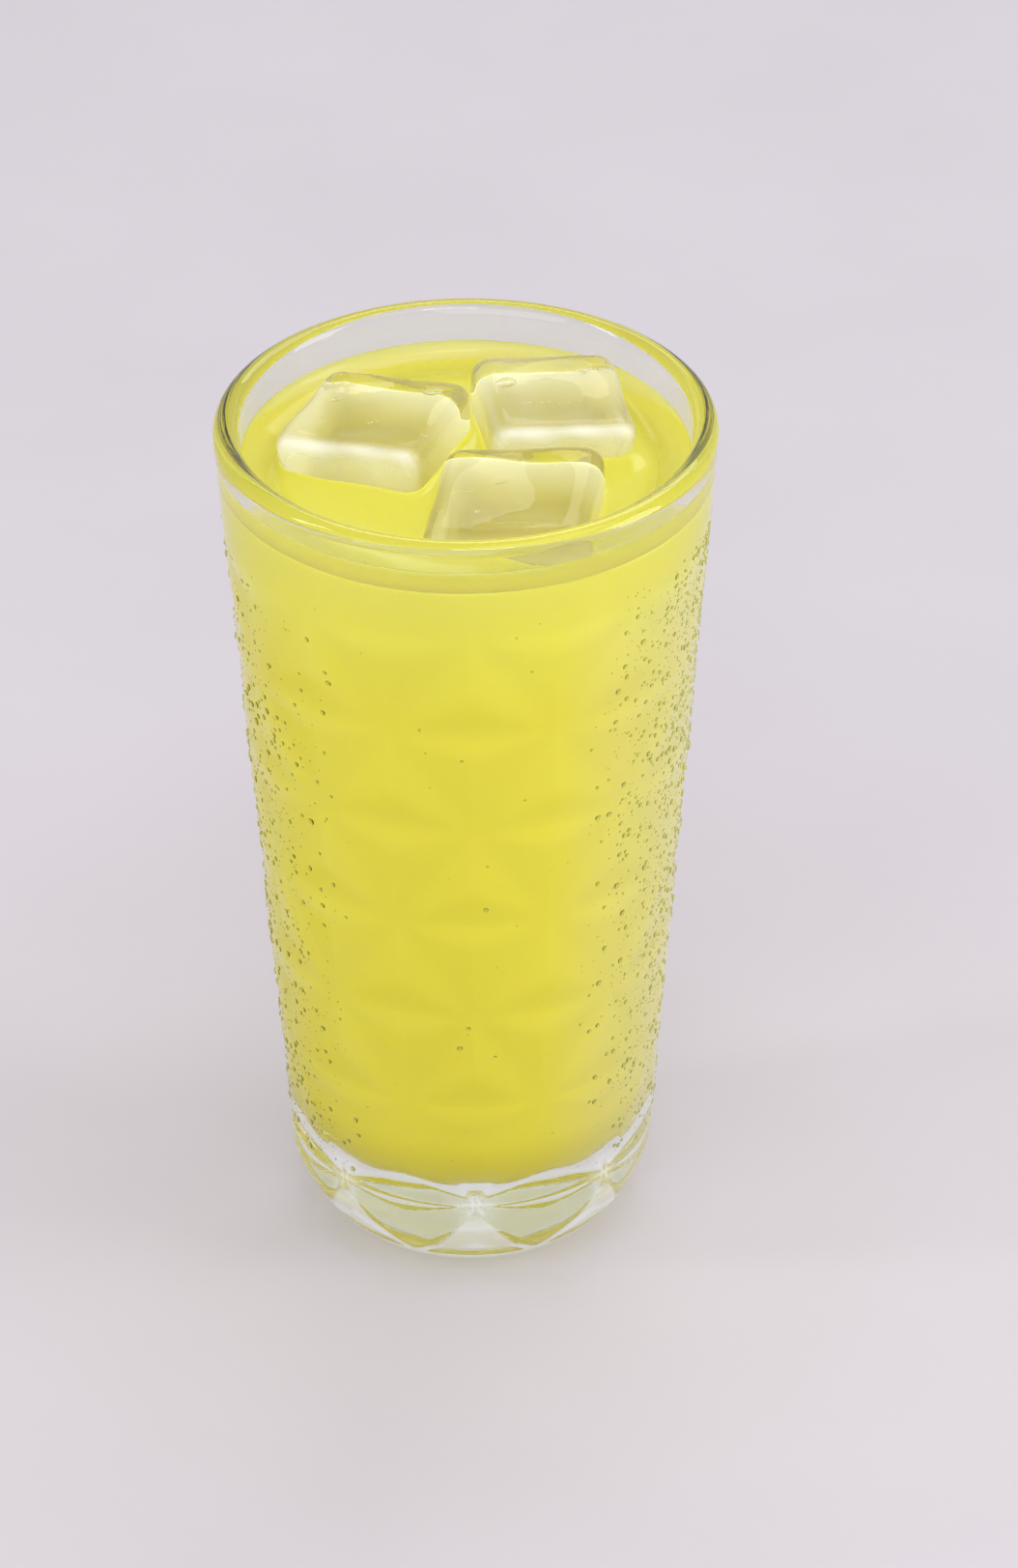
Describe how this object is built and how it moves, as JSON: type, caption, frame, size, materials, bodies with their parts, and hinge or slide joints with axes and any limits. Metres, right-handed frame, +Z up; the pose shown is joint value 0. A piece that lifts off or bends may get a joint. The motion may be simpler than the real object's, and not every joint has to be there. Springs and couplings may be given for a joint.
{
  "type": "glass of lemonade with ice",
  "caption": "Tall tapered drinking glass with a pressed facet pattern and thick bottom, filled with cloudy yellow lemonade and cubes of clear ice.",
  "frame": {"origin": "middle of the base, on the surface that the glass stands on", "axes": "+Z up along the axis of the glass, -Y towards the front"},
  "size_m": [0.08, 0.08, 0.148],
  "materials": {
    "pressed_glass": "clear pressed soda-lime glass, fire-polished, with fine dew on the outside",
    "cloudy_lemonade": "cloudy bright yellow drink with a wet, level surface",
    "clear_ice": "clear melting ice, wet and smooth, with a few bubbles"
  },
  "bodies": {
    "root": {"tumbler": "pressed_glass", "lemonade": "cloudy_lemonade", "ice_cube_left": "clear_ice", "ice_cube_right": "clear_ice", "ice_cube_front": "clear_ice"}
  },
  "joints": []
}
